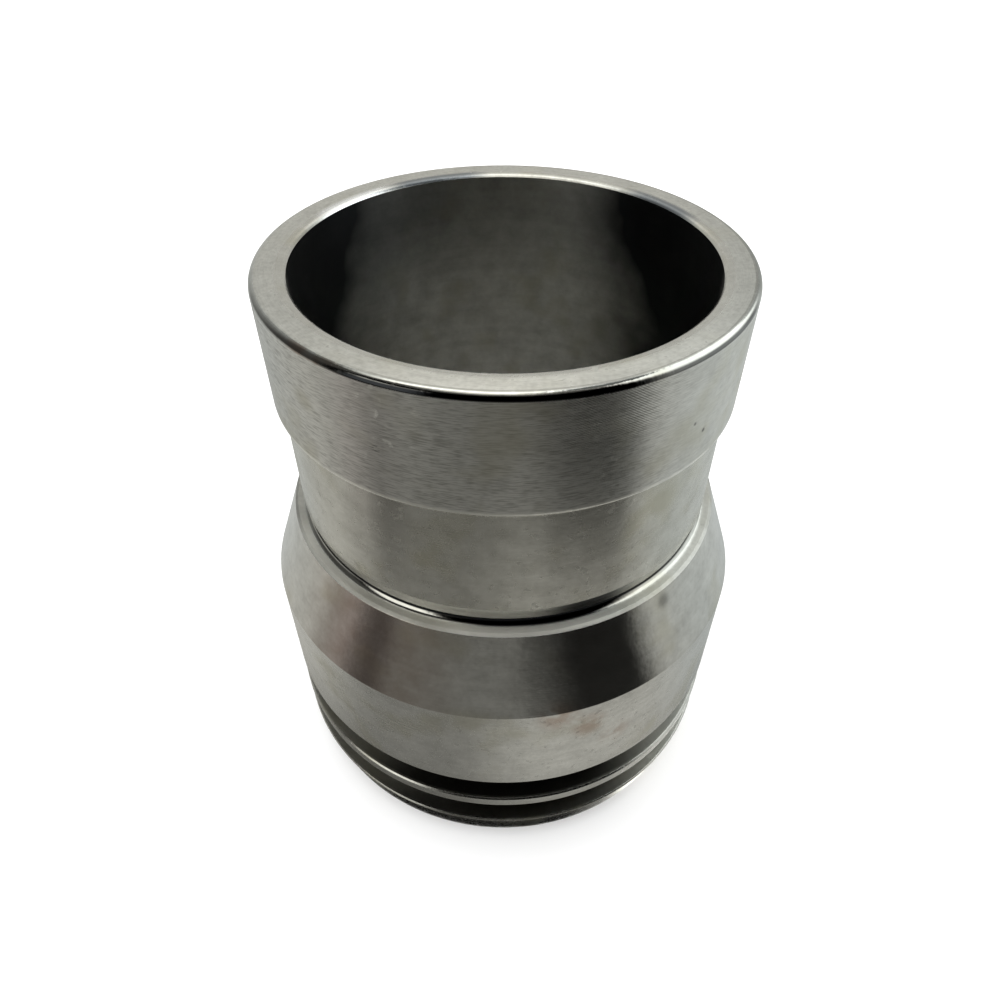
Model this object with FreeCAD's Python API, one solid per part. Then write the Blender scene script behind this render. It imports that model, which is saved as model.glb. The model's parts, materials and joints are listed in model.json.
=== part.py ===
import FreeCAD, Part
import math
import os

# Injector sleeve: one piece of steel, turned outside and bored through.
# It stands on its foot at Z = 0, with its axis along +Z. Sizes are in millimetres.

# Bore
BORE_DIA = 34.3
BORE_BREAK = 0.32

# Walls, measured outwards from the bore
GUIDE_WALL = 2.85
BODY_WALL = 6.0

# Steps, measured radially from the surface beside them
GUIDE_STEP = 0.65
RELIEF_DEPTH = 0.3
LEDGE_WIDTH = 0.95
SEAL_DEPTH = 1.95
FOOT_TAPER = 0.95

# Lengths along the axis, from the foot upwards
FOOT_LENGTH = 3.7
SEAL_WIDTH = 3.2
SEAL_LAND = 1.25
BODY_LENGTH = 11.0
CONE_LENGTH = 7.7
RELIEF_LENGTH = 1.85
RELIEF_RUNOUT = 0.8
NECK_LENGTH = 10.4
GUIDE_LENGTH = 10.05

# Number of seal grooves, one above the other
SEAL_COUNT = 2

# Rounded corners
TOP_ROUND = 0.5
RELIEF_ROUND = 0.6
BODY_ROUND = 0.3

# Broken corners, as legs of 45 degree breaks
LEDGE_BREAK = 0.2
SEAL_BREAK = 0.15
FOOT_BREAK = 0.2

# Share of a straight side that the finish of one corner may use up
FINISH_REACH = 0.45

# Radii worked out from the sizes above
BORE_R = BORE_DIA / 2
GUIDE_R = BORE_R + GUIDE_WALL
NECK_R = GUIDE_R - GUIDE_STEP
RELIEF_R = NECK_R - RELIEF_DEPTH
LEDGE_R = NECK_R + LEDGE_WIDTH
BODY_R = BORE_R + BODY_WALL
SEAL_FLOOR_R = BODY_R - SEAL_DEPTH
FOOT_R = BODY_R - FOOT_TAPER


def sharp(radius, height):
    """A corner of the section left as it is."""
    return radius, height, "sharp", 0


def broken(radius, height, leg):
    """A corner of the section with a straight break across it."""
    return radius, height, "broken", leg


def rounded(radius, height, round_radius):
    """A corner of the section with an arc that touches both its sides."""
    return radius, height, "rounded", round_radius


def seal_groove(low):
    """Corners of one square seal groove, from its lower edge up."""
    high = low + SEAL_WIDTH
    return [
        broken(BODY_R, low, SEAL_BREAK),
        sharp(SEAL_FLOOR_R, low),
        sharp(SEAL_FLOOR_R, high),
        broken(BODY_R, high, SEAL_BREAK),
    ]


def outside():
    """Corners of the turned outside, from the foot to the top face."""
    grooves = []
    for number in range(SEAL_COUNT):
        grooves += seal_groove(FOOT_LENGTH + number * (SEAL_WIDTH + SEAL_LAND))
    body_low = FOOT_LENGTH + SEAL_COUNT * SEAL_WIDTH + (SEAL_COUNT - 1) * SEAL_LAND
    body_high = body_low + BODY_LENGTH
    ledge = body_high + CONE_LENGTH
    neck_low = ledge + RELIEF_LENGTH
    neck_high = neck_low + NECK_LENGTH
    guide_low = neck_high + GUIDE_STEP
    top = guide_low + GUIDE_LENGTH
    return [
        broken(FOOT_R, 0, FOOT_BREAK),
        *grooves,
        rounded(BODY_R, body_high, BODY_ROUND),
        broken(LEDGE_R, ledge, LEDGE_BREAK),
        rounded(RELIEF_R, ledge, RELIEF_ROUND),
        sharp(RELIEF_R, neck_low - RELIEF_RUNOUT),
        sharp(NECK_R, neck_low),
        sharp(NECK_R, neck_high),
        sharp(GUIDE_R, guide_low),
        rounded(GUIDE_R, top, TOP_ROUND),
    ]


def inside(top):
    """Corners of the straight bore, from the top face down, broken at both mouths."""
    return [broken(BORE_R, top, BORE_BREAK), broken(BORE_R, 0, BORE_BREAK)]


def corner_finish(before, corner, after, finish, size):
    """Where a corner's finish starts and ends on its two sides, and the edge between, if it has one."""
    if finish == "sharp":
        return corner, corner, []
    back = before - corner
    ahead = after - corner
    half_angle = back.getAngle(ahead) / 2
    reach = size if finish == "broken" else size / math.tan(half_angle)
    reach = min(reach, FINISH_REACH * back.Length, FINISH_REACH * ahead.Length)
    back.normalize()
    ahead.normalize()
    start = corner + back * reach
    end = corner + ahead * reach
    if finish == "broken":
        return start, end, [Part.LineSegment(start, end).toShape()]
    arc_radius = reach * math.tan(half_angle)
    corner_to_arc = arc_radius / math.sin(half_angle) - arc_radius
    middle = corner + (back + ahead).normalize() * corner_to_arc
    return start, end, [Part.Arc(start, middle, end).toShape()]


def section(corners):
    """Flat face inside the closed outline through the corners, each with its own finish."""
    points = [FreeCAD.Vector(radius, 0, height) for radius, height, _, _ in corners]
    befores = points[-1:] + points[:-1]
    afters = points[1:] + points[:1]
    edges = []
    starts = []
    ends = []
    for before, point, after, (_, _, finish, size) in zip(befores, points, afters, corners):
        start, end, edge = corner_finish(before, point, after, finish, size)
        starts.append(start)
        ends.append(end)
        edges += edge
    for end, next_start in zip(ends, starts[1:] + starts[:1]):
        edges.append(Part.LineSegment(end, next_start).toShape())
    return Part.Face(Part.Wire(Part.__sortEdges__(edges)))


def sleeve():
    """The whole sleeve: its half section turned once round the axis."""
    corners = outside()
    _, top, _, _ = corners[-1]
    face = section(corners + inside(top))
    return face.revolve(FreeCAD.Vector(0, 0, 0), FreeCAD.Vector(0, 0, 1), 360)


os.makedirs("parts", exist_ok=True)
sleeve().exportStep("parts/sleeve.step")
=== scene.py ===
import json
import math

import bpy
import numpy as np
from mathutils import Matrix, Vector


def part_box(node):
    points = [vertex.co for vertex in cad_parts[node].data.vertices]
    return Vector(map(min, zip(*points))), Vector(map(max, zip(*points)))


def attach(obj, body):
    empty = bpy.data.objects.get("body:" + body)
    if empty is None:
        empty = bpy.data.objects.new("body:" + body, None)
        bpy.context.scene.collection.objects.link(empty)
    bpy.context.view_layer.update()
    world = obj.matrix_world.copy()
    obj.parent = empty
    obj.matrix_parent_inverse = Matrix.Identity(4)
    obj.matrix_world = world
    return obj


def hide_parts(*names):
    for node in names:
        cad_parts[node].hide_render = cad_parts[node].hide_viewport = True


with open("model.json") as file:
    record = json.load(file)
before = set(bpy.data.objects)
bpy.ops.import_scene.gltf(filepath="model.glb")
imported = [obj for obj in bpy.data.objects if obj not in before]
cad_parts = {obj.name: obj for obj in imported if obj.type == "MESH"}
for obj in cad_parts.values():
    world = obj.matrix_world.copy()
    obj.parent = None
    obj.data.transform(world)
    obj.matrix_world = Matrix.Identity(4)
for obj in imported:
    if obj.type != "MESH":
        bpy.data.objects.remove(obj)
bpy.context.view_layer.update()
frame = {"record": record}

# An injector sleeve turned from steel, standing on its foot with its axis along Z.
# The sizes below are in millimetres, and the meshes in metres.
MM = 0.001

# Sizes that the part's own record states, in millimetres
MOUNTS = {mount["name"]: mount for mount in frame["record"]["mounts"]}


def stated_radius(name):
    """Radius of one of the record's turned surfaces, in millimetres."""
    return MOUNTS[name]["dims"]["r_mm"]


def stated_span(name):
    """Lowest and highest point of one of the record's turned surfaces along the axis, in millimetres."""
    middle = MOUNTS[name]["pos_m"][2] / MM
    half = MOUNTS[name]["dims"]["length_mm"] / 2
    return middle - half, middle + half


_, HIGH_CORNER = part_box("sleeve")
TOP = HIGH_CORNER.z / MM
BORE_R = stated_radius("bore")
GUIDE_R = stated_radius("guide_band")
BODY_R = stated_radius("body_band")
GROOVE_R = stated_radius("lower_seal_groove")
LOWER_GROOVE = stated_span("lower_seal_groove")
UPPER_GROOVE = stated_span("upper_seal_groove")

# Steps of the section, measured radially, and lengths along the axis, in millimetres
FOOT_TAPER = 0.95
GUIDE_STEP = 0.65
RELIEF_DEPTH = 0.3
LEDGE_WIDTH = 0.95
GUIDE_LENGTH = 10.05
NECK_LENGTH = 10.4
RELIEF_RUNOUT = 0.8
RELIEF_LENGTH = 1.85
CONE_LENGTH = 7.7

# Radii and heights worked out from them
FOOT_R = BODY_R - FOOT_TAPER
NECK_R = GUIDE_R - GUIDE_STEP
RELIEF_R = NECK_R - RELIEF_DEPTH
LEDGE_R = NECK_R + LEDGE_WIDTH
GUIDE_LOW = TOP - GUIDE_LENGTH
NECK_HIGH = GUIDE_LOW - GUIDE_STEP
NECK_LOW = NECK_HIGH - NECK_LENGTH
RELIEF_HIGH = NECK_LOW - RELIEF_RUNOUT
LEDGE = NECK_LOW - RELIEF_LENGTH
CONE_LOW = LEDGE - CONE_LENGTH

# Edge breaks, as the legs of 45 degree faces, in millimetres
LEDGE_BREAK = 0.2
GROOVE_BREAK = 0.15
FOOT_BREAK = 0.2

# Rounded corners, in millimetres
TOP_ROUND = 0.55
RELIEF_ROUND = 0.6
BODY_ROUND = 0.3
GROOVE_ROUND = 0.35
BREAK_ROUND = 0.06
STEP_ROUND = 0.12
GUIDE_FOOT_ROUND = 0.35

# The bore's mouth at the top: a shallow lead, a steeper one below it, and the rounds at their outer ends.
# Each is its radius beyond the bore's, its depth below the top and its round, in millimetres.
MOUTH_LEADS = ((0.80, 0.0, 4.0), (0.23, 0.085, 0.5), (0.0, 0.31, 0.05))
FOOT_MOUTH = 0.32
FOOT_MOUTH_ROUND = 0.2

# How finely the sleeve is divided: the turn of one step along a round, the fewest and the most steps of
# a round, the strip that keeps its shading off the flats, in millimetres, and the steps round the axis
ROUND_TURN = math.radians(9)
ROUND_STEPS = (3, 12)
STRIP = 0.03
AROUND = 400


def unit(vector):
    return vector / np.linalg.norm(vector)


def broken(before, corner, after, leg):
    """The two corners of a straight break: the points one leg away from the corner on its two sides."""
    return corner + unit(before - corner) * leg, corner + unit(after - corner) * leg


def rounded(before, corner, after, radius):
    """Points along the arc that touches both sides of a corner, with one more on each side beyond it.

    With the unit vectors u and v along the sides and half the angle between them h, the arc starts
    radius / tan(h) from the corner, its centre lies radius / sin(h) from it along u + v, and its
    points turn evenly from the one touching point to the other."""
    u, v = unit(before - corner), unit(after - corner)
    half = math.acos(float(np.clip(u @ v, -1, 1))) / 2
    centre = corner + unit(u + v) * radius / math.sin(half)
    start = corner + u * radius / math.tan(half)
    end = corner + v * radius / math.tan(half)
    turn = math.pi - 2 * half
    steps = int(np.clip(round(turn / ROUND_TURN), *ROUND_STEPS))
    share = np.linspace(0, 1, steps + 1)[:, None]
    spokes = np.sin((1 - share) * turn) * (start - centre) + np.sin(share * turn) * (end - centre)
    arc = centre + spokes / math.sin(turn)
    return np.vstack([start + u * STRIP, arc, end + v * STRIP])


def groove_corners(low, high):
    """Corners of one seal groove, each with its break and its round."""
    return [
        (BODY_R, low, GROOVE_BREAK, BREAK_ROUND),
        (GROOVE_R, low, 0, GROOVE_ROUND),
        (GROOVE_R, high, 0, GROOVE_ROUND),
        (BODY_R, high, GROOVE_BREAK, BREAK_ROUND),
    ]


def section_corners():
    """Corners of the half section as radius, height, break and round, once round it from the foot."""
    return [
        (FOOT_R, 0, FOOT_BREAK, BREAK_ROUND),
        *groove_corners(*LOWER_GROOVE),
        *groove_corners(*UPPER_GROOVE),
        (BODY_R, CONE_LOW, 0, BODY_ROUND),
        (LEDGE_R, LEDGE, LEDGE_BREAK, BREAK_ROUND),
        (RELIEF_R, LEDGE, 0, RELIEF_ROUND),
        (RELIEF_R, RELIEF_HIGH, 0, STEP_ROUND),
        (NECK_R, NECK_LOW, 0, STEP_ROUND),
        (NECK_R, NECK_HIGH, 0, STEP_ROUND),
        (GUIDE_R, GUIDE_LOW, 0, GUIDE_FOOT_ROUND),
        (GUIDE_R, TOP, 0, TOP_ROUND),
        *[(BORE_R + wider, TOP - deeper, 0, round_mm) for wider, deeper, round_mm in MOUTH_LEADS],
        (BORE_R, 0, FOOT_MOUTH, FOOT_MOUTH_ROUND),
    ]


def with_neighbours(items):
    """Each item of a closed ring of them, between the one before it and the one after it."""
    return zip(items[-1:] + items[:-1], items, items[1:] + items[:1])


def section():
    """The closed outline of the half section, as points of radius and height in millimetres."""
    corners = section_corners()
    points = [np.array([radius, height]) for radius, height, _, _ in corners]
    ends = []
    for (before, point, after), (_, _, leg, round_mm) in zip(with_neighbours(points), corners):
        kept = broken(before, point, after, leg) if leg else [point]
        ends += [(end, round_mm) for end in kept]
    arcs = []
    for (before, _), (end, round_mm), (after, _) in with_neighbours(ends):
        arcs.append(rounded(before, end, after, round_mm))
    return np.vstack(arcs)


def lathe(name, outline, around, closed=True):
    """An outline of radius and height, in millimetres, carried once round the Z axis.

    Point (i, j) is outline point i turned by j / around of a whole turn. The map u is the share of the
    turn, and v is the way along the outline in millimetres. A closed outline joins its ends."""
    rows = len(outline)
    bands = rows if closed else rows - 1
    radius, height = outline.T * MM
    angle = np.arange(around) * 2 * np.pi / around
    points = np.stack([
        radius[:, None] * np.cos(angle),
        radius[:, None] * np.sin(angle),
        np.broadcast_to(height[:, None], (rows, around)),
    ], axis=-1).reshape(-1, 3)
    i, j = np.meshgrid(np.arange(bands), np.arange(around), indexing="ij")
    ahead_i, ahead_j = (i + 1) % rows, (j + 1) % around
    faces = np.stack([
        i * around + j,
        i * around + ahead_j,
        ahead_i * around + ahead_j,
        ahead_i * around + j,
    ], axis=-1).reshape(-1, 4)
    steps = np.linalg.norm(np.roll(outline, -1, axis=0) - outline, axis=1)
    run = np.concatenate([[0], np.cumsum(steps)])
    corner_u = np.stack([j, j + 1, j + 1, j], axis=-1) / around
    corner_v = np.stack([run[i], run[i], run[i + 1], run[i + 1]], axis=-1)
    mesh = bpy.data.meshes.new(name)
    mesh.from_pydata(points.tolist(), [], faces.tolist())
    mesh.shade_smooth()
    layer = mesh.uv_layers.new(name="turning")
    layer.data.foreach_set("uv", np.stack([corner_u, corner_v], axis=-1).ravel())
    mesh.update()
    piece = bpy.data.objects.new(name, mesh)
    bpy.context.scene.collection.objects.link(piece)
    return piece


class Signal:
    """One output of a material's nodes, which takes part in sums and products as a number does."""

    def __init__(self, graph, socket):
        self.graph = graph
        self.socket = socket

    def __add__(self, other):
        return self.graph.math("ADD", self, other)

    def __radd__(self, other):
        return self.graph.math("ADD", other, self)

    def __sub__(self, other):
        return self.graph.math("SUBTRACT", self, other)

    def __rsub__(self, other):
        return self.graph.math("SUBTRACT", other, self)

    def __mul__(self, other):
        return self.graph.math("MULTIPLY", self, other)

    def __rmul__(self, other):
        return self.graph.math("MULTIPLY", other, self)

    def __truediv__(self, other):
        return self.graph.math("DIVIDE", self, other)

    def __rtruediv__(self, other):
        return self.graph.math("DIVIDE", other, self)

    def __pow__(self, other):
        return self.graph.math("POWER", self, other)


class Graph:
    """The nodes of one material or world."""

    def __init__(self, owner):
        owner.use_nodes = True
        self.tree = owner.node_tree
        self.tree.nodes.clear()

    def node(self, kind, settings=None, inputs=None):
        """Adds a node: its settings come first, then the values or links of its sockets."""
        node = self.tree.nodes.new(kind)
        for name, value in (settings or {}).items():
            setattr(node, name, value)
        for name, value in (inputs or {}).items():
            if isinstance(value, Signal):
                self.tree.links.new(value.socket, node.inputs[name])
            else:
                node.inputs[name].default_value = value
        return node

    def out(self, kind, settings=None, inputs=None, output=0):
        return Signal(self, self.node(kind, settings, inputs).outputs[output])

    def math(self, operation, *values):
        return self.out("ShaderNodeMath", {"operation": operation}, dict(enumerate(values)))

    def clamp(self, value):
        return self.out("ShaderNodeClamp", None, {"Value": value})

    def smooth(self, value, low, high):
        """0 below low, 1 above high and a smooth rise between."""
        return self.out(
            "ShaderNodeMapRange",
            {"interpolation_type": "SMOOTHSTEP"},
            {"Value": value, "From Min": low, "From Max": high},
        )

    def band(self, value, low, high, soft=0.04):
        """1 where the value lies between low and high, with soft ends."""
        past_low = self.smooth(value, low - soft, low + soft)
        past_high = self.smooth(value, high - soft, high + soft)
        return past_low * (1 - past_high)

    def noise(self, vector, scale, detail=2.0, roughness=0.5):
        """A soft noise from 0 to 1 about 0.5."""
        return self.out(
            "ShaderNodeTexNoise",
            None,
            {"Vector": vector, "Scale": scale, "Detail": detail, "Roughness": roughness},
        )

    def mix(self, share, first, second):
        """The first colour where share is 0 and the second where it is 1."""
        return self.out(
            "ShaderNodeMix", {"data_type": "RGBA"}, {0: share, 6: first, 7: second}, output=2
        )


def grey(level):
    return (level, level, level, 1)


def blend(share, first, second):
    """The first value where share is 0 and the second where it is 1."""
    return first * (1 - share) + second * share


# Steel: its colours, from clean metal to dirt, and the colours of its painted highlights, painted
# reflections and painted shade
STEEL = (0.70, 0.695, 0.655, 1)
STEEL_SHADE = (0.42, 0.415, 0.385, 1)
STEEL_OLIVE = (0.50, 0.48, 0.38, 1)
STEEL_BROWN = (0.42, 0.30, 0.23, 1)
STEEL_DARK = (0.09, 0.088, 0.085, 1)
# Painted dark bluish reflection and painted white highlight for the bore's mouth
REFLECTION_BLUE = (0.15, 0.17, 0.20, 1)
HIGHLIGHT_WHITE = (0.96, 0.97, 0.98, 1)
# Painted pale light for the ledge and the relief, and a painted highlight for the guide band's step
PAINTED_PALE = (0.95, 0.94, 0.87, 1)
# Painted shade, near black: the bore's flanks and top, the top edge's lower half and the undercut's corner
SHADE_BLACK = (0.018, 0.020, 0.024, 1)
# Dirt and painted shade in the seal grooves
GRIME_AND_SHADE = (0.035, 0.034, 0.03, 1)

# Marks of the tool
RING_LENGTH_MM = 20.0
RING_PITCH_MM = 0.13
BAND_LENGTH_MM = 30.0
BAND_PITCH_MM = 0.6
STREAK_LENGTH_MM = 0.9
STREAK_WIDTH_MM = 0.08
CHATTER_PITCH_MM = 0.19
CHATTER_STARTS = 460

# Spots: side in degrees from the front, height and size in millimetres, and strength
BROWN_SPOTS = ((12, 21.8, 2.6, 1.0), (19, 19.6, 2.4, 1.0), (26, 16.6, 2.2, 0.7))
DARK_SPOTS = ((41.2, 28.9, 0.95, 0.6), (45.8, 45.9, 0.26, 1.0), (42.0, 47.1, 0.22, 0.8))
DARK_SMEAR = (-26, 47.4, 0.5, 1.0)

# Scales of the noises, for lengths in metres
BLOTCH_SCALE = 170.0
MOTTLE_SCALE = 480.0
SPECKLE_SCALE = 1500.0
GRAIN_SCALE = 2600.0

# Radii, in millimetres, where the inner half of the wall gives way to the outer half
WALL_MIDDLE = (18.2, 18.4)
BUMP_DEPTH = 0.02 * MM


class SurfacePoint:
    """Where a point of the sleeve lies: in millimetres, and as its side in degrees round from the front."""

    def __init__(self, g):
        self.g = g
        self.place = g.out("ShaderNodeTexCoord", output=3)
        at = g.node("ShaderNodeSeparateXYZ", None, {0: self.place})
        self.x, self.y, self.z = (Signal(g, at.outputs[k]) / MM for k in range(3))
        self.radius = (self.x * self.x + self.y * self.y) ** 0.5
        self.side = g.math("ARCTAN2", self.x, 0 - self.y) * math.degrees(1)
        self.from_far = 180 - g.math("ABSOLUTE", self.side)
        turning = g.node("ShaderNodeUVMap", {"uv_map": "turning"})
        split = g.node("ShaderNodeSeparateXYZ", None, {0: Signal(g, turning.outputs[0])})
        self.run = Signal(g, split.outputs[1])

    def turned_noise(self, along_mm, across_mm, detail):
        """A noise drawn out along the turning: so long around the axis and so wide along the outline."""
        vector = self.g.out("ShaderNodeCombineXYZ", None, {
            0: self.x / along_mm, 1: self.y / along_mm, 2: self.run / across_mm})
        return self.g.noise(vector, 1.0, detail=detail)

    def spot(self, side, height, size, strength):
        """The strength at one place of the surface and 0 from size away on."""
        across = (self.side - side) * self.radius * math.radians(1)
        up = self.z - height
        away = (across * across + up * up) ** 0.5
        return (1 - self.g.smooth(away, size * 0.2, size)) * strength

    def spots(self, places):
        """All of the spots together."""
        return sum(self.spot(*place) for place in places)


class Regions:
    """1 on a surface of the sleeve and 0 elsewhere, for each surface with a finish of its own."""

    def __init__(self, g, point):
        z, radius = point.z, point.radius
        outside = g.smooth(radius, *WALL_MIDDLE)
        beside_bore = 1 - g.smooth(radius, BORE_R + 0.02, BORE_R + 0.05)
        at_top = g.smooth(z, TOP - 0.03, TOP - 0.01)
        self.outside = outside
        self.guide = outside * g.band(z, GUIDE_LOW, TOP - TOP_ROUND)
        self.neck = outside * g.band(z, NECK_LOW, NECK_HIGH)
        self.relief = outside * g.band(z, LEDGE + RELIEF_ROUND, NECK_LOW + 0.05)
        self.edge = outside * g.smooth(z, TOP - TOP_ROUND, TOP - TOP_ROUND + 0.1) * (1 - at_top)
        self.fillet = g.band(z, LEDGE + 0.03, LEDGE + RELIEF_ROUND) * g.band(
            radius, RELIEF_R - 0.15, NECK_R + 0.4)
        self.ledge = outside * g.band(z, LEDGE - LEDGE_BREAK, LEDGE + 0.03)
        self.cone = outside * g.band(z, CONE_LOW, LEDGE - LEDGE_BREAK)
        self.groove = outside * (1 - g.smooth(radius, BODY_R - 0.45, BODY_R - 0.05)) * g.band(
            z, LOWER_GROOVE[0], UPPER_GROOVE[1])
        self.mouth = (1 - g.smooth(radius, BORE_R + 0.5, BORE_R + 1.0)) * g.smooth(z, TOP - 0.33, TOP - 0.29)
        self.bore = beside_bore * (1 - self.mouth)
        self.face = at_top * (1 - self.mouth)
        self.polished = g.clamp(self.edge + self.fillet)


class ToolMarks:
    """Rings right round, broader bands, short streaks and slanting chatter."""

    def __init__(self, g, point, on):
        self.rings = point.turned_noise(RING_LENGTH_MM, RING_PITCH_MM, 2.0)
        self.bands = point.turned_noise(BAND_LENGTH_MM, BAND_PITCH_MM, 1.0)
        self.streaks = point.turned_noise(STREAK_LENGTH_MM, STREAK_WIDTH_MM, 1.0)
        waves = point.z / CHATTER_PITCH_MM + point.side * (CHATTER_STARTS / 360)
        chatter_place = on.guide * g.band(point.side, 10, 31, 6) * g.smooth(point.z, TOP - 6, TOP - 2.5)
        self.chatter = g.math("SINE", waves * (2 * math.pi)) * chatter_place


class Grain:
    """Blotches, a mottle, a grain as of cut metal, and small specks and pits."""

    def __init__(self, g, point, on):
        self.blotches = g.noise(point.place, BLOTCH_SCALE, detail=2.0, roughness=0.6)
        self.mottle = g.noise(point.place, MOTTLE_SCALE, detail=2.0, roughness=0.62)
        self.grain = g.noise(point.place, GRAIN_SCALE, detail=1.0)
        speckle = g.noise(point.place, SPECKLE_SCALE, detail=1.0)
        clean_cone = on.cone * (1 - g.band(point.side, -24, 8, 8))
        self.specks = g.smooth(speckle, 0.62, 0.78) * (1 - on.bore) * (1 - 0.7 * clean_cone)
        self.pits = g.smooth(self.grain, 0.32, 0.24)
        self.olive = g.smooth(self.blotches, 0.50, 0.72)


class StainsAndPaintedLight:
    """Stain spots, dust, and dirt with painted shade in the grooves, and painted highlights, painted pale
    light, painted reflections and painted shade, each as a share from 0 to 1.

    Their places are sides in degrees from the front, to the right above 0, and heights in millimetres."""

    def __init__(self, g, point, on, marks, grain):
        self.brown = self.brown_stains(g, point, on, grain)
        smear = point.spot(*DARK_SMEAR) * g.smooth(marks.streaks, 0.5, 0.6)
        self.dark = g.clamp(point.spots(DARK_SPOTS) + smear)
        # Painted dark reflection on the top edge's lower half and painted shade in the undercut's corner
        self.black = self.painted_dark_corners(g, point, on)
        # Painted pale light on the ledge and the relief, and a painted highlight at the guide band's step
        self.pale = self.painted_pale_light(g, point, on, grain)
        self.dust = on.ledge * (
            0.08 * g.band(point.side, -70, -38, 6) + 0.12 * g.band(point.side, -14, 24, 6))
        # Painted white highlight and painted dark bluish reflection on the bore's mouth, at given sides
        self.mouth_highlight = on.mouth * g.band(point.side, -141, -115, 5)
        self.mouth_dark_reflection = on.mouth * (g.band(point.side, -172, -144, 5) + g.band(point.side, 113, 138, 6))
        # Painted shade in the bore, towards its flanks and its top
        self.bore_shade = self.painted_bore_shade(g, point, on, grain)
        # Dirt and painted shade in the seal grooves: darkest in front, less towards the sides
        self.groove_grime_and_shade = on.groove * (0.94 - 0.7 * g.smooth(g.math("ABSOLUTE", point.side), 20, 48))
        # Painted shade: a darker line where the top face meets the top edge's round, on all sides but the
        # left
        self.painted_rim_shade = g.smooth(point.z, TOP - 0.05, TOP - 0.03) * g.smooth(point.side, -38, -20) * g.band(
            point.radius, GUIDE_R - TOP_ROUND - 0.06, GUIDE_R - TOP_ROUND + 0.13, 0.03)

    def brown_stains(self, g, point, on, grain):
        """Brown spots on the body, a stain on the edge and a brown cast on the left of the cone."""
        places = point.spots(BROWN_SPOTS) + on.edge * g.band(point.side, -47, -34, 4)
        spots = g.clamp(places) * g.smooth(grain.mottle, 0.30, 0.56)
        cast = on.cone * g.band(point.side, -50, -14, 9) * (0.35 + 0.6 * grain.mottle)
        return g.clamp(spots + cast)

    def painted_dark_corners(self, g, point, on):
        """Painted dark reflection on the lower half of the top edge, and painted shade in the undercut's
        corner and on part of the relief.
        """
        side, z = point.side, point.z
        # Painted dark reflection on the lower half of the top edge, strongest in front
        dark_edge_share = (
            g.band(side, -35, 27, 5) + 0.8 * g.band(side, 27, 66, 5) + 0.3 * g.band(side, -70, -35, 5)
        )
        painted_dark_edge = on.edge * (1 - g.smooth(z, TOP - 0.26, TOP - 0.12)) * dark_edge_share
        # Painted shade in the undercut's corner and on part of the relief
        in_corner = g.smooth(z, LEDGE + 0.28, LEDGE + 0.4) + g.band(side, -9, 27, 6)
        corner_shade = on.fillet * g.clamp(in_corner) + on.relief * g.band(side, 13, 30, 6) * 0.9
        return g.clamp(painted_dark_edge + corner_shade)

    def painted_pale_light(self, g, point, on, grain):
        """Painted light: paler colour on the ledge and the relief, and a painted highlight along the step at
        the foot of the guide band.
        """
        side = point.side
        ledge = on.ledge * g.band(side, -66, 24, 8) * (1 - 0.75 * g.band(side, -37, -15, 6))
        relief = on.relief * g.band(side, -22, 10, 6)
        # Painted highlight along the step at the guide band's foot
        step_highlight = on.outside * g.smooth(grain.mottle, 0.2, 0.6) * g.band(
            point.z, GUIDE_LOW - 0.3, GUIDE_LOW + 0.28, 0.12)
        return g.clamp(ledge + relief + step_highlight * 0.8)

    def painted_bore_shade(self, g, point, on, grain):
        """Painted shade that darkens the bore towards its flanks, sooner on the right, and towards its top.
        """
        onto_left = g.smooth(point.side, -1, 1)
        flank_left = g.smooth(point.from_far, 24, 80)
        flank_right = g.smooth(point.from_far, 12, 66)
        flank = blend(onto_left, flank_left, flank_right) ** 2
        patchy = g.clamp(flank + (grain.blotches - 0.5) * 0.9 * flank * (1 - flank) * 4)
        low = on.bore * patchy * (1 - g.smooth(point.from_far, 86, 104)) * g.smooth(point.z, 22, 31)
        high = on.bore * (0.4 + 0.3 * g.smooth(point.from_far, 8, 32)) * g.smooth(point.z, TOP - 13, TOP - 2)
        return g.clamp(low + high)


def steel_colour(g, point, on, marks, grain, stains_and_light):
    """Clean metal shaded by the tool's marks, then the stain spots on it, painted highlights, painted pale
    light and painted reflections, painted shade, and the grooves' dirt with painted shade.
    """
    streak_share = 0.3 + 2.6 * on.guide * (1 - 0.75 * g.smooth(point.side, 24, 44)) + 0.4 * on.face
    shade = (
        0.30
        + (marks.streaks - 0.5) * streak_share
        + (grain.mottle - 0.5) * (0.7 + 0.6 * on.cone + 0.8 * on.neck + 0.5 * on.bore)
        + (marks.bands - 0.5) * 0.4
        + (grain.grain - 0.5) * (0.4 + 0.5 * on.face)
        + marks.chatter * 0.36
        + grain.pits * on.face * 0.6
        # Painted shade: the darker line at the top face's rim
        + stains_and_light.painted_rim_shade * 0.7
    )
    olive = g.clamp(grain.olive * 0.5 + on.neck * 0.25) * (1 - on.face * 0.6)
    colour = g.mix(g.clamp(shade), STEEL, STEEL_SHADE)
    # Layers in order: olive tone, brown stain, painted highlight, painted pale light, painted dark
    # reflection, painted shade in the bore, dark spots, painted dark edge and corner shade, and groove dirt
    # with painted shade
    layers = (
        (olive, STEEL_OLIVE),
        (stains_and_light.brown * 0.6, STEEL_BROWN),
        (stains_and_light.mouth_highlight, HIGHLIGHT_WHITE),
        (stains_and_light.pale, PAINTED_PALE),
        (stains_and_light.mouth_dark_reflection * 0.8, REFLECTION_BLUE),
        (stains_and_light.bore_shade * 0.97, SHADE_BLACK),
        (stains_and_light.dark * 0.88, STEEL_DARK),
        (stains_and_light.black * 0.985, SHADE_BLACK),
        (stains_and_light.groove_grime_and_shade, GRIME_AND_SHADE),
    )
    for share, layer in layers:
        colour = g.mix(share, colour, layer)
    return colour


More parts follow.
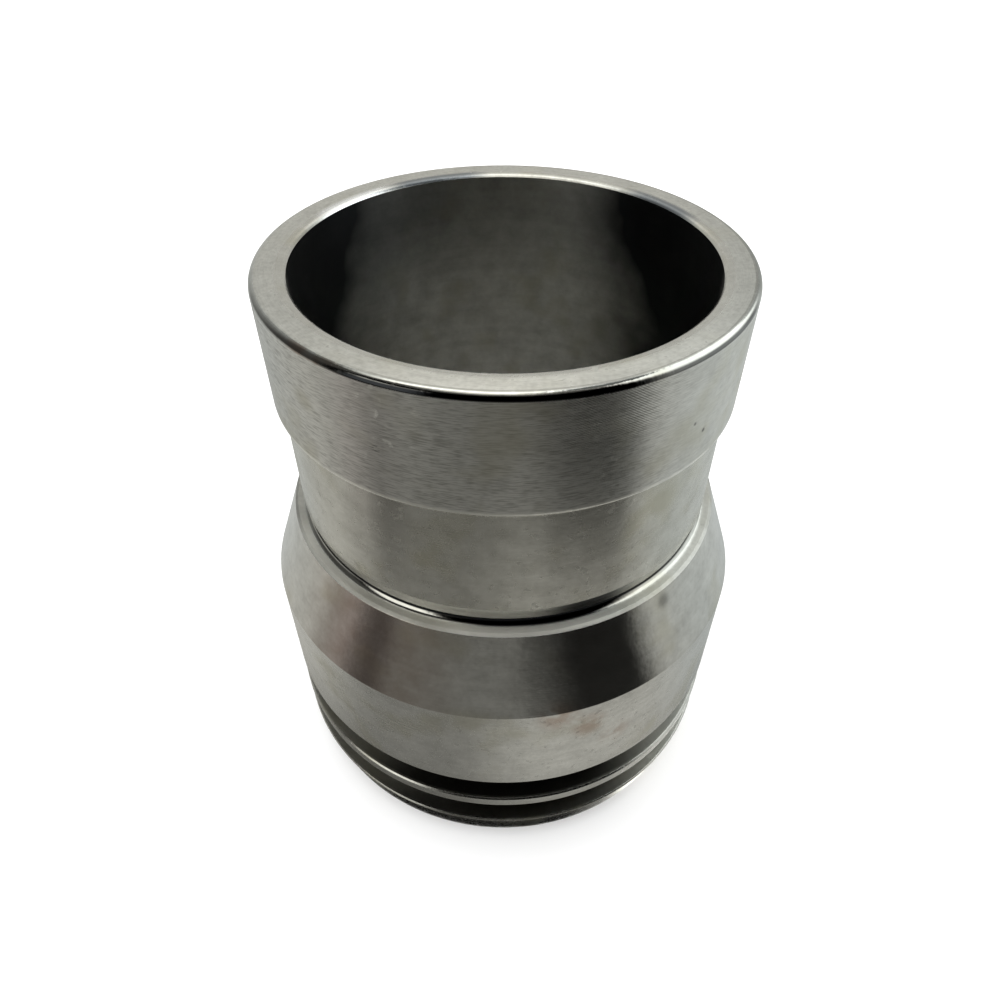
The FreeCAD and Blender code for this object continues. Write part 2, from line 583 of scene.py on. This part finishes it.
def steel_roughness(on, marks, grain, stains_and_light):
    """The roughness of each surface's own cut, a little uneven with the marks, the grain and the stains."""
    cut = (
        0.25 + 0.08 * on.guide + 0.25 * on.ledge + 0.05 * on.face - 0.16 * on.polished - 0.12 * on.cone
        + 0.13 * on.bore + 0.1 * on.groove + 0.2 * on.relief - 0.04 * on.mouth
    )
    return (
        cut + (marks.rings - 0.5) * 0.06 + (grain.grain - 0.5) * 0.05 + (grain.mottle - 0.5) * 0.06
        + grain.olive * 0.04 + grain.specks * 0.12 + stains_and_light.dark * 0.1
    )


def steel_height(g, point, on, marks, grain):
    """The fine relief of the marks and the grain, as shares of the bump's depth."""
    return (
        (marks.rings * 0.12 + marks.streaks * 0.18) * (1 - on.polished)
        + grain.grain * (0.25 + 0.4 * on.edge * g.band(point.side, 2, 40, 6))
        + grain.mottle * (0.6 + 0.4 * on.cone) + marks.chatter * 0.2 + grain.specks * 0.15
    )


def turned_steel():
    """Bare steel with the rings and streaks of the tool, stain spots, specks, dirt, and painted shade and
    painted highlights in its colour.
    """
    material = bpy.data.materials.new("turned_steel")
    g = Graph(material)
    point = SurfacePoint(g)
    on = Regions(g, point)
    marks = ToolMarks(g, point, on)
    grain = Grain(g, point, on)
    stains_and_light = StainsAndPaintedLight(g, point, on, marks, grain)
    bump = g.out("ShaderNodeBump", None, {
        "Strength": 1.0,
        "Distance": BUMP_DEPTH,
        "Height": steel_height(g, point, on, marks, grain),
    })
    shader = g.out("ShaderNodeBsdfPrincipled", None, {
        "Base Color": steel_colour(g, point, on, marks, grain, stains_and_light),
        "Metallic": 1 - stains_and_light.dust,
        "Roughness": steel_roughness(on, marks, grain, stains_and_light),
        "Normal": bump,
        "Anisotropic": 0.6,
        "Anisotropic Rotation": 0.25,
    })
    g.node("ShaderNodeOutputMaterial", None, {"Surface": shader})
    return material


def make_sleeve():
    sleeve = lathe("turned_sleeve", section(), AROUND)
    sleeve.data.materials.append(turned_steel())
    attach(sleeve, "root")
    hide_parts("sleeve")


# The studio: a white floor, a white surround and a tent of light and dark that the metal mirrors
FLOOR_SIZE_M = 3.0
FLOOR_COLOUR = grey(0.95)
TENT_REACH_MM = 150.0
TENT_EYE_MM = 45.0
TENT_CLEARANCE_MM = 0.1
TENT_GROUND_MM = 0.02
TENT_CROWN_GAP_MM = 0.01
TENT_STEPS = 40
TENT_AROUND = 96
WARM_LIGHT = (1.01, 1.0, 0.94, 1)
COOL_LIGHT = (0.95, 1.0, 0.99, 1)
ROSY_LIGHT = (1.08, 0.98, 0.94, 1)

# Levels of light, where 1 is white
ROOM_LEVEL = 1.3
LOW_CARD_LEVEL = 1.4
SLATE_LEVEL = 0.16
LAMP_ENERGY = 1.5
LAMP_SPREAD = math.radians(110)
LAMP_TILT = (math.radians(-25), math.radians(-20), 0)


def make_floor():
    half = FLOOR_SIZE_M / 2
    corners = [(-half, -half, 0), (half, -half, 0), (half, half, 0), (-half, half, 0)]
    mesh = bpy.data.meshes.new("floor")
    mesh.from_pydata(corners, [], [(0, 1, 2, 3)])
    mesh.update()
    floor = bpy.data.objects.new("floor", mesh)
    bpy.context.scene.collection.objects.link(floor)
    material = bpy.data.materials.new("floor_paper")
    g = Graph(material)
    shader = g.out("ShaderNodeBsdfDiffuse", None, {"Color": FLOOR_COLOUR})
    g.node("ShaderNodeOutputMaterial", None, {"Surface": shader})
    mesh.materials.append(material)


def tent_outline():
    """Radius and height of the tent: flat from the foot outwards, then a quarter circle to the top."""
    rise = np.radians(np.linspace(0, 90, TENT_STEPS))
    ground = np.stack([
        np.linspace(FOOT_R + TENT_CLEARANCE_MM, TENT_REACH_MM, TENT_STEPS),
        np.full(TENT_STEPS, TENT_GROUND_MM),
    ], axis=1)
    dome = np.stack([
        TENT_REACH_MM * np.cos(rise) + TENT_CROWN_GAP_MM,
        TENT_EYE_MM + TENT_REACH_MM * np.sin(rise),
    ], axis=1)
    return np.vstack([ground, dome])


def ground_light(g, side, reach):
    """Level of light on the tent's ground, by side in degrees and reach from the axis in millimetres.

    Far from the foot it is dim in front, black to the right of that and pale at the sides. Beside the
    foot it is paler, but dark where the sleeve stands in its own shadow, with a glint on the right."""
    left = 0 - side
    front = (1 - g.smooth(side, 3, 32)) * (1 - 0.6 * g.band(side, -58, -46, 6))
    far = (
        0.015
        + 0.175 * front
        + 0.16 * g.smooth(left, 58, 68)
        + 0.18 * g.smooth(left, 70, 85)
        + 0.05 * g.smooth(left, 85, 120)
        + 0.53 * g.smooth(side, 50, 67)
        + 0.12 * g.smooth(side, 67, 105)
    )
    far = far * (1 - 0.4 * g.band(side, 7, 30, 5) * g.smooth(reach, 92, 115))
    near = (
        0.27
        + 0.33 * g.smooth(side, -20, 18)
        - 0.08 * g.smooth(side, 40, 90)
        + 0.32 * g.smooth(left, 40, 85)
    )
    nearness = 1 - g.smooth(reach, 28, 72)
    ground = blend(nearness, far, near) * (1 - 0.45 * (1 - g.smooth(reach, 26, 31)))
    beside_foot = 1 - g.smooth(reach, 23.3, 26.0)
    shadow = beside_foot * g.smooth(side, -45, -28) * (1 - g.smooth(side, 16, 34))
    glint = beside_foot * g.smooth(side, 28, 44) * (1 - g.smooth(side, 110, 145))
    return ground * (1 - shadow) + 2.4 * glint


def high_light(g, side, lift):
    """Level of light on the tent's wall and dome, by side and lift above the eye, both in degrees.

    The back is pale, the front black up to a pale crown and the left dim. A window stands on the
    right, with a slate patch above it."""
    left = 0 - side
    back_level = (
        0.57 + 0.50 * g.smooth(lift, 32, 43) + 1.0 * g.smooth(lift, 60, 70)
        - 0.6 * g.band(lift, 43, 55, 4) * g.band(left, 112, 148, 6)
        - 0.2 * g.band(side, 130, 150, 8) * (1 - g.smooth(lift, 30, 38))
    )
    front = g.smooth(side, -90, -78) * (1 - g.smooth(side, 50, 62))
    front_level = (
        0.10 * g.smooth(lift, 46, 58)
        + 0.85 * g.smooth(lift, 60, 76) * (1 - 0.8 * g.smooth(side, 20, 50))
        + 1.0 * g.smooth(lift, 78, 84)
    )
    dim_left = g.smooth(left, 66, 78) * (1 - g.smooth(left, 146, 156)) * (1 - g.smooth(lift, 50, 64))
    dim_level = 0.07 + 0.12 * g.smooth(left, 98, 116) + 0.42 * g.smooth(left, 112, 152)
    slanted_side = side - 12 * g.smooth(lift, 28, 40)
    window = g.smooth(side, 58, 72) * (1 - g.smooth(slanted_side, 120, 132)) * (1 - g.smooth(lift, 55, 61))
    window_level = (
        1.05 + 0.7 * g.smooth(lift, 10, 24)
        - 0.5 * g.smooth(side, 104, 116) * (1 - g.smooth(lift, 9, 16))
    )
    slate = g.smooth(side, 52, 60) * (1 - g.smooth(side, 105, 170)) * g.band(lift, 57, 77, 3)
    level = blend(front, back_level, front_level)
    level = blend(dim_left, level, dim_level)
    level = blend(window, level, window_level)
    return blend(slate, level, SLATE_LEVEL)


def tent_cloth():
    """What the metal mirrors: a level and a tint of light for each place of the tent."""
    material = bpy.data.materials.new("tent_cloth")
    material.cycles.emission_sampling = "NONE"
    g = Graph(material)
    at = g.node("ShaderNodeSeparateXYZ", None, {0: g.out("ShaderNodeTexCoord", output=3)})
    x, y, z = (Signal(g, at.outputs[k]) / MM for k in range(3))
    reach = (x * x + y * y) ** 0.5
    side = g.math("ARCTAN2", x, 0 - y) * math.degrees(1)
    lift = g.math("ARCTAN2", z - TENT_EYE_MM, reach) * math.degrees(1)
    level = blend(g.smooth(lift, -16, 0), ground_light(g, side, reach), high_light(g, side, lift))
    low_card = g.band(side, -63, -33, 6) * g.band(lift, -7, 34, 5)
    level = blend(low_card, level, LOW_CARD_LEVEL)
    cool = g.smooth(side, 45, 90) * (1 - g.smooth(side, 125, 175)) + 0.6 * g.band(side, -150, -105, 15)
    rosy = g.band(side, -72, -46, 7) * (1 - g.smooth(lift, -14, -8)) * g.smooth(reach, 60, 72)
    tint = g.mix(rosy, g.mix(cool, WARM_LIGHT, COOL_LIGHT), ROSY_LIGHT)
    shader = g.out("ShaderNodeEmission", None, {"Color": tint, "Strength": level})
    g.node("ShaderNodeOutputMaterial", None, {"Surface": shader})
    return material


def make_tent():
    tent = lathe("tent", tent_outline(), TENT_AROUND, closed=False)
    tent.data.materials.append(tent_cloth())
    tent.visible_camera = False
    tent.visible_diffuse = False
    tent.visible_transmission = False
    tent.visible_shadow = False


def make_world():
    """White where it is seen or mirrored, and a plain level of light from all round."""
    world = bpy.data.worlds.new("studio")
    bpy.context.scene.world = world
    g = Graph(world)
    ray = g.node("ShaderNodeLightPath")
    seen = g.clamp(
        Signal(g, ray.outputs["Is Camera Ray"])
        + Signal(g, ray.outputs["Is Glossy Ray"])
        + Signal(g, ray.outputs["Is Transmission Ray"])
    )
    light = g.out("ShaderNodeBackground", None, {"Color": grey(1), "Strength": ROOM_LEVEL})
    white = g.out("ShaderNodeBackground", None, {"Color": grey(1), "Strength": 1.0})
    shader = g.out("ShaderNodeMixShader", None, {0: seen, 1: light, 2: white})
    g.node("ShaderNodeOutputWorld", None, {"Surface": shader})


def make_lamp():
    """A wide, soft sun that gives the floor the sleeve's faint shadow and isn't mirrored itself."""
    lamp = bpy.data.lights.new("soft_key", "SUN")
    lamp.energy = LAMP_ENERGY
    lamp.angle = LAMP_SPREAD
    holder = bpy.data.objects.new("soft_key", lamp)
    holder.rotation_euler = LAMP_TILT
    holder.visible_glossy = False
    bpy.context.scene.collection.objects.link(holder)


# The camera, from the photograph's own perspective
CAMERA_LENS_MM = 27.61
CAMERA_FILM_MM = 36
CAMERA_PITCH = math.radians(42.393)
CAMERA_ROLL = math.radians(0.147)
CAMERA_PLACE_MM = (-0.346, -58.378, 79.534)
CAMERA_CLIP = 2 * MM


def make_camera():
    """A camera that looks along +Y and down by its pitch, turned about its own axis by its roll."""
    camera = bpy.data.cameras.new("camera")
    camera.lens = CAMERA_LENS_MM
    camera.sensor_width = CAMERA_FILM_MM
    camera.clip_start = CAMERA_CLIP
    holder = bpy.data.objects.new("camera", camera)
    ahead = Vector((0, math.cos(CAMERA_PITCH), -math.sin(CAMERA_PITCH)))
    level_up = Vector((0, math.sin(CAMERA_PITCH), math.cos(CAMERA_PITCH)))
    level_right = Vector((1, 0, 0))
    right = math.cos(CAMERA_ROLL) * level_right + math.sin(CAMERA_ROLL) * level_up
    up = -math.sin(CAMERA_ROLL) * level_right + math.cos(CAMERA_ROLL) * level_up
    turn = Matrix((right, up, -ahead)).transposed()
    holder.matrix_world = Matrix.Translation(Vector(CAMERA_PLACE_MM) * MM) @ turn.to_4x4()
    bpy.context.scene.collection.objects.link(holder)
    bpy.context.scene.camera = holder


make_camera()
make_world()
make_lamp()
make_floor()
make_tent()
make_sleeve()
bpy.context.scene.view_settings.view_transform = "Standard"
